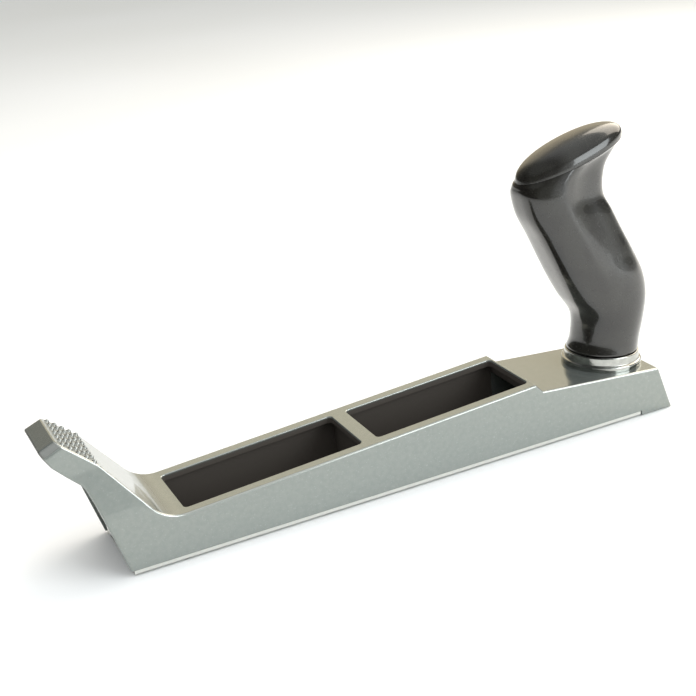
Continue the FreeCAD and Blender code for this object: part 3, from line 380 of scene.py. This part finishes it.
def build_ferrule():
    """The turned ferrule: flange, cove and neck with small rounded steps, and its bore."""
    corners = [
        (4.35, 0.0, 0.0), (18.5, 0.0, 0.15), (18.5, 2.5, 0.7), (17.3, 2.75, 0.35), (17.15, 6.6, 0.6),
        (14.0, 6.6, 0.3), (14.0, 3.5, 0.2), (4.35, 3.5, 0.0),
    ]
    profile = []
    for i, (radius, height, rounding) in enumerate(corners):
        here = Vector((radius, height))
        if rounding == 0:
            profile.append(here)
            continue
        before = Vector(corners[i - 1][:2]) - here
        after = Vector(corners[(i + 1) % len(corners)][:2]) - here
        start = here + before.normalized() * rounding
        end = here + after.normalized() * rounding
        for k in range(7):
            t = k / 6
            profile.append(start * (1 - t) ** 2 + here * 2 * t * (1 - t) + end * t ** 2)
    rings = []
    for k in range(160):
        angle = 2 * math.pi * k / 160
        rings.append(on_swivel([(p.x * math.cos(angle), p.x * math.sin(angle), p.y) for p in profile]))
    piece = mesh_from_rings("turned_ferrule", rings + [rings[0]], False, False)
    mesh = bmesh.new()
    mesh.from_mesh(piece.data)
    bmesh.ops.remove_doubles(mesh, verts=mesh.verts, dist=0.001 * MM)
    bmesh.ops.recalc_face_normals(mesh, faces=mesh.faces)
    mesh.to_mesh(piece.data)
    mesh.free()
    return piece


# ---------------------------------------------------------------- pieces
black = grip_plastic()
chrome = plated_steel("polished_chrome", "#b9bab5", "#a8a9a5", 0.15, 2.0)
zinc = plated_steel("bright_zinc_plate", "#c9cac6", "#a9aba8", 0.26, 1.5)
nodes = frame["nodes"]
dress(nodes["body_casting"], casting_lacquer())
dress(nodes["rasp_blade"], blade_steel())
for node in ("tension_hook", "tension_screw", "handle_bolt", "flat_washer"):
    dress(nodes[node], zinc)
dress(nodes["lock_washer"], plated_steel("blued_spring_steel", "#4a4d55", "#2f3138", 0.35, 1.0))
dress(nodes["handle_insert"], plated_steel("turned_brass", "#cda75a", "#b08a40", 0.25, 1.0))
dress(nodes["friction_washer"], fibre_board())
for node in ("handle_grip", "handle_cap", "handle_ferrule"):
    dress(nodes[node], chrome if node == "handle_ferrule" else black)

for piece, body, node, slot, material in (
    (build_grip(), "handle", "handle_grip", "grip_plastic", black),
    (build_cap(), "handle", "handle_cap", "grip_plastic", black),
    (build_ferrule(), "root", "handle_ferrule", "ferrule_chrome", chrome),
):
    dress(piece, material)
    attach(piece, body)
    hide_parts(node)


# ---------------------------------------------------------------- floor, light and camera
def build_floor():
    """A wide level floor just under the blade's teeth."""
    mesh = bmesh.new()
    bmesh.ops.create_grid(mesh, x_segments=8, y_segments=8, size=6.0)
    data = bpy.data.meshes.new("studio_floor")
    mesh.to_mesh(data)
    mesh.free()
    floor = bpy.data.objects.new("studio_floor", data)
    floor.location.z = -0.4 * MM
    scene.collection.objects.link(floor)
    dress(floor, pale_floor())


def add_softbox(name, place, target, size, power, tint):
    """A square area light at a place, facing a target. Returned, so that its reflection can be hidden."""
    data = bpy.data.lights.new(name, "AREA")
    data.size = size
    data.energy = power
    data.color = linear(tint)[:3]
    lamp = bpy.data.objects.new(name, data)
    lamp.location = place
    lamp.rotation_euler = (Vector(target) - Vector(place)).to_track_quat("-Z", "Y").to_euler()
    scene.collection.objects.link(lamp)
    return lamp


build_floor()
add_softbox("key_softbox", (0.9, 0.35, 0.7), (0.0, 0.0, 0.03), 0.9, 8.0, "#fff4e4")
add_softbox("fill_softbox", (0.75, -0.95, 0.5), (0.05, 0.0, 0.03), 0.9, 12.0, "#f2f8fa")
overhead = add_softbox("overhead_softbox", (-0.3, -0.1, 1.6), (-0.1, 0.0, 0.0), 1.6, 16.0, "#f6f8ff")
overhead.visible_glossy = False


def build_world():
    """Studio surroundings: white to the eye; in reflections bright ahead, behind and overhead, and
    darker at the sides and towards the toe."""
    world = bpy.data.worlds.new("soft_studio")
    world.use_nodes = True
    tree = world.node_tree
    x, y, z = add(tree, "SeparateXYZ", _0=add(tree, "TexCoord").outputs["Generated"]).outputs
    ahead = remap(tree, maths(tree, "MULTIPLY", y, -1.0), 0.45, 0.95, 0.0, 1.0)
    behind = remap(tree, maths(tree, "ADD", y, maths(tree, "MULTIPLY", x, 0.35)), 0.5, 0.95, 0.0, 1.0)
    overhead = remap(tree, z, 0.5, 0.9, 0.0, 1.0)
    glow = maths(tree, "MAXIMUM", maths(tree, "MAXIMUM", ahead, behind), overhead)
    paths = add(tree, "LightPath").outputs
    heelward = remap(tree, x, -0.15, 0.1, 0.25, 1.0)
    rising = maths(tree, "MULTIPLY", behind, remap(tree, z, 0.12, 0.4, 0.0, 1.0))
    strength = maths(tree, "ADD", remap(tree, glow, 0.0, 1.0, 0.08, 0.7), times(tree, rising, 0.35))
    strength = maths(tree, "MULTIPLY", strength, heelward)
    strength = maths(tree, "MAXIMUM", strength, maths(tree, "MULTIPLY", paths["Is Diffuse Ray"], 0.55))
    seen = paths["Is Camera Ray"]
    colour = blend_colours(tree, behind, "#f6fafa", "#fff1d2")
    sky = tree.nodes["Background"]
    tree.links.new(blend_colours(tree, seen, colour, "#ffffff"), sky.inputs["Color"])
    tree.links.new(maths(tree, "MAXIMUM", strength, seen), sky.inputs["Strength"])
    return world


world = build_world()
scene.world = world
scene.view_settings.view_transform = "Standard"

CAMERA_TURN, CAMERA_DOWN, CAMERA_ROLL = (math.radians(angle) for angle in (-22.70, 21.78, -6.27))
backward = Vector((math.sin(CAMERA_TURN) * math.cos(CAMERA_DOWN),
                   -math.cos(CAMERA_TURN) * math.cos(CAMERA_DOWN), math.sin(CAMERA_DOWN)))
level = Vector((math.cos(CAMERA_TURN), math.sin(CAMERA_TURN), 0))
upright = backward.cross(level)
right = level * math.cos(CAMERA_ROLL) + upright * math.sin(CAMERA_ROLL)
up = upright * math.cos(CAMERA_ROLL) - level * math.sin(CAMERA_ROLL)
lens = bpy.data.cameras.new("camera")
lens.sensor_width = 36.0
lens.lens = 68.41
lens.clip_start = 0.01
camera = bpy.data.objects.new("camera", lens)
camera.matrix_world = (Matrix.Translation((-0.20834, -0.48182, 0.27087))
                       @ Matrix((right, up, backward)).transposed().to_4x4())
scene.collection.objects.link(camera)
scene.camera = camera
